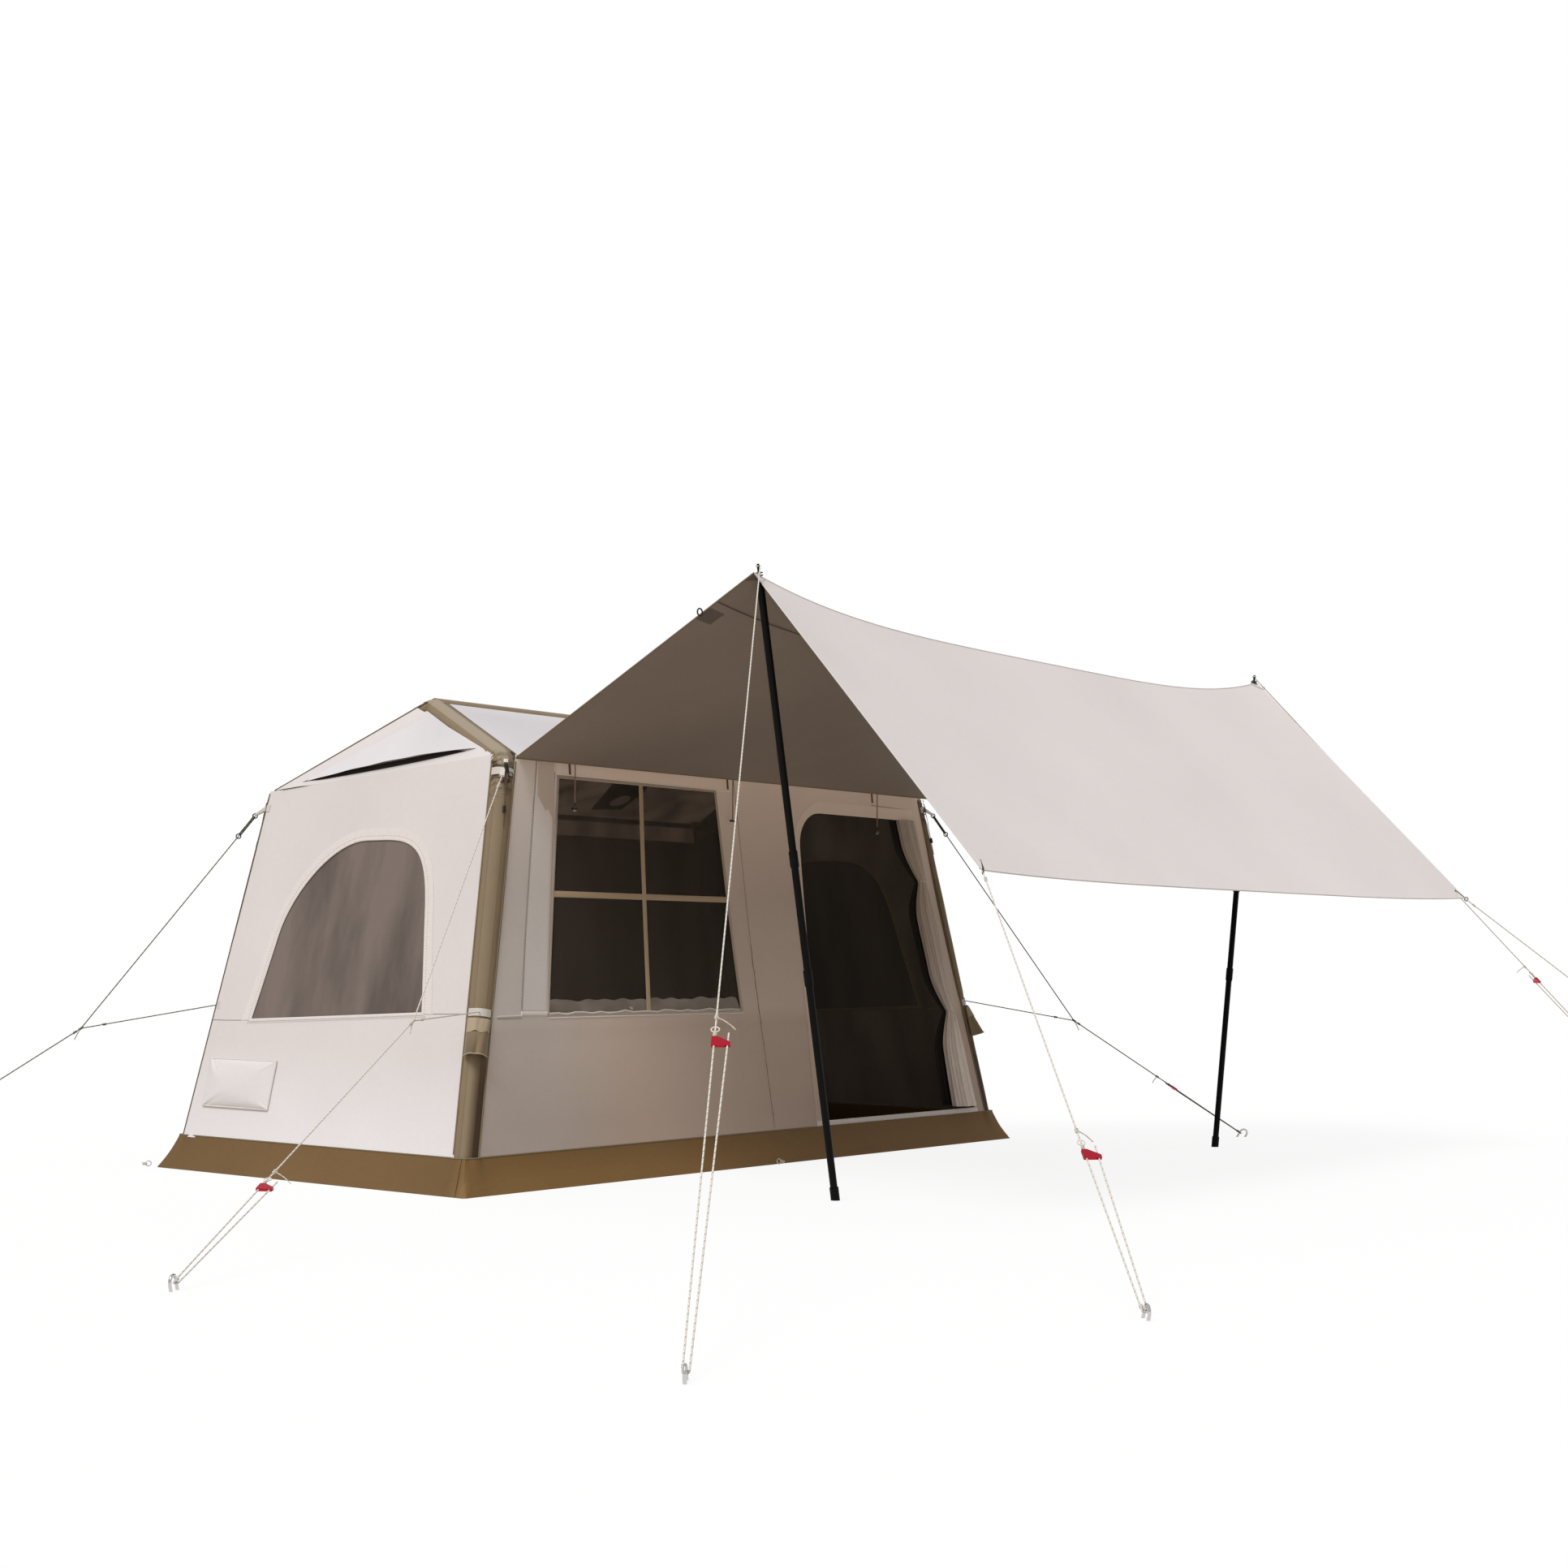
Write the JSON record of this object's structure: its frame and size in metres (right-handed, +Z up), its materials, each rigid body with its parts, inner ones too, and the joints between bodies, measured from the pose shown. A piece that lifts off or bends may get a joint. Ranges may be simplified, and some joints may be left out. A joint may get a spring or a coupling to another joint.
{
  "type": "inflatable ridge tent",
  "caption": "Inflatable ridge tent: an air-beam cabin with arched side windows, a tied-back door and a pale awning on two leaning poles.",
  "frame": {"origin": "middle of the groundsheet's underside, on the ground", "axes": "+Z up, +X to the right along the door wall as seen from outside, +Y from the door wall to the back wall"},
  "size_m": [8.8666, 6.2699, 2.3832],
  "materials": {
    "black_plastic": "satin",
    "black_pole": "satin",
    "brown_cloth": "matte",
    "door_mesh": "matte",
    "guyline_cord": "matte",
    "pale_cloth": "matte",
    "red_runner": "gloss",
    "stake_steel": "bright",
    "tan_sleeve": "matte",
    "white_webbing": "matte",
    "window_mesh": "matte"
  },
  "bodies": {
    "root": {"awning": "pale_cloth", "back_roof": "pale_cloth", "back_wall": "pale_cloth", "door_curtain": "pale_cloth", "door_mesh_curtain": "door_mesh", "far_awning_guyline": "guyline_cord", "far_awning_stake": "stake_steel", "far_pole": "black_pole", "far_pole_guyline": "guyline_cord", "far_pole_stake": "stake_steel", "front_roof": "pale_cloth", "front_wall": "pale_cloth", "front_window_cover_roll": "brown_cloth", "front_window_mesh": "window_mesh", "front_window_tapes": "tan_sleeve", "groundsheet": "brown_cloth", "left_arch_beam": "tan_sleeve", "left_back_eave_strap": "white_webbing", "left_back_guyline": "guyline_cord", "left_back_stake": "stake_steel", "left_front_eave_strap": "white_webbing", "left_front_guyline": "guyline_cord", "left_front_stake": "stake_steel", "left_gable_hood": "pale_cloth", "left_wall": "pale_cloth", "left_window_mesh": "window_mesh", "mud_skirt": "brown_cloth", "near_awning_guyline": "guyline_cord", "near_awning_stake": "stake_steel", "near_pole": "black_pole", "near_pole_guyline": "guyline_cord", "near_pole_stake": "stake_steel", "ridge_beam": "tan_sleeve", "right_arch_beam": "tan_sleeve", "right_back_eave_strap": "white_webbing", "right_back_guyline": "guyline_cord", "right_back_stake": "stake_steel", "right_front_eave_strap": "white_webbing", "right_front_guyline": "guyline_cord", "right_front_stake": "stake_steel", "right_gable_hood": "pale_cloth", "right_wall": "pale_cloth", "right_window_mesh": "window_mesh"},
    "left_vent_flap": {"left_vent_flap": "pale_cloth"},
    "left_valve_cap": {"left_valve_cap": "black_plastic"},
    "left_valve_pocket": {"left_valve_pocket": "tan_sleeve"},
    "right_vent_flap": {"right_vent_flap": "pale_cloth"},
    "right_valve_cap": {"right_valve_cap": "black_plastic"},
    "right_valve_pocket": {"right_valve_pocket": "tan_sleeve"},
    "left_window_tie": {"left_window_tie": "black_plastic"},
    "right_window_tie": {"right_window_tie": "black_plastic"},
    "door_tie": {"door_tie": "black_plastic"},
    "near_pole_runner": {"near_pole_runner": "red_runner"},
    "near_awning_runner": {"near_awning_runner": "red_runner"},
    "far_pole_runner": {"far_pole_runner": "red_runner"},
    "far_awning_runner": {"far_awning_runner": "red_runner"},
    "left_front_runner": {"left_front_runner": "red_runner"},
    "left_back_runner": {"left_back_runner": "red_runner"},
    "right_front_runner": {"right_front_runner": "red_runner"},
    "right_back_runner": {"right_back_runner": "red_runner"}
  },
  "joints": [
    {"name": "left_vent_flap_hinge", "type": "hinge", "parent": "root", "child": "left_vent_flap", "pos_m": [-1.76594, 0.55831, 0.47376], "axis": [0, 1, 0], "range_deg": [0, 100]},
    {"name": "left_valve_cap_turn", "type": "hinge", "parent": "root", "child": "left_valve_cap", "pos_m": [-1.73381, -0.85469, 0.5665], "axis": [-0.6769, -0.7007, 0.2255], "range_deg": [0, 90]},
    {"name": "left_valve_pocket_lift", "type": "hinge", "parent": "root", "child": "left_valve_pocket", "pos_m": [-1.70113, -0.83365, 0.67679], "axis": [-0.7051, 0.7051, 0.0745], "range_deg": [0, 45]},
    {"name": "right_vent_flap_hinge", "type": "hinge", "parent": "root", "child": "right_vent_flap", "pos_m": [1.76594, 0.55831, 0.47376], "axis": [0, -1, 0], "range_deg": [0, 100]},
    {"name": "right_valve_cap_turn", "type": "hinge", "parent": "root", "child": "right_valve_cap", "pos_m": [1.73381, -0.85469, 0.5665], "axis": [0.6769, -0.7007, 0.2255], "range_deg": [0, 90]},
    {"name": "right_valve_pocket_lift", "type": "hinge", "parent": "root", "child": "right_valve_pocket", "pos_m": [1.70113, -0.83365, 0.67679], "axis": [-0.7051, -0.7051, -0.0745], "range_deg": [0, 45]},
    {"name": "left_window_tie_swing", "type": "hinge", "parent": "root", "child": "left_window_tie", "pos_m": [-1.10347, -0.76266, 1.72956], "axis": [-1, 0, 0], "range_deg": [-2, 45]},
    {"name": "right_window_tie_swing", "type": "hinge", "parent": "root", "child": "right_window_tie", "pos_m": [-0.07633, -0.76266, 1.72956], "axis": [-1, 0, 0], "range_deg": [-2, 45]},
    {"name": "door_tie_swing", "type": "hinge", "parent": "root", "child": "door_tie", "pos_m": [1.03, -0.76266, 1.72956], "axis": [-1, 0, 0], "range_deg": [-2, 45]},
    {"name": "near_pole_runner_slide", "type": "slide", "parent": "root", "child": "near_pole_runner", "axis": [-0.6499, -0.4843, -0.5858], "range_m": [0, 0.1]},
    {"name": "near_awning_runner_slide", "type": "slide", "parent": "root", "child": "near_awning_runner", "axis": [-0.558, -0.605, -0.568], "range_m": [0, 0.1]},
    {"name": "far_pole_runner_slide", "type": "slide", "parent": "root", "child": "far_pole_runner", "axis": [0.6048, -0.41, -0.6827], "range_m": [0, 0.1]},
    {"name": "far_awning_runner_slide", "type": "slide", "parent": "root", "child": "far_awning_runner", "axis": [0.5357, -0.5916, -0.6024], "range_m": [0, 0.06]},
    {"name": "left_front_runner_slide", "type": "slide", "parent": "root", "child": "left_front_runner", "axis": [-0.8323, -0.4333, -0.3459], "range_m": [0, 0.1]},
    {"name": "left_back_runner_slide", "type": "slide", "parent": "root", "child": "left_back_runner", "axis": [-0.5885, 0.5921, -0.5504], "range_m": [0, 0.06]},
    {"name": "right_front_runner_slide", "type": "slide", "parent": "root", "child": "right_front_runner", "axis": [0.5885, -0.5921, -0.5504], "range_m": [0, 0.06]},
    {"name": "right_back_runner_slide", "type": "slide", "parent": "root", "child": "right_back_runner", "axis": [0.599, 0.5816, -0.5504], "range_m": [0, 0.06]}
  ]
}
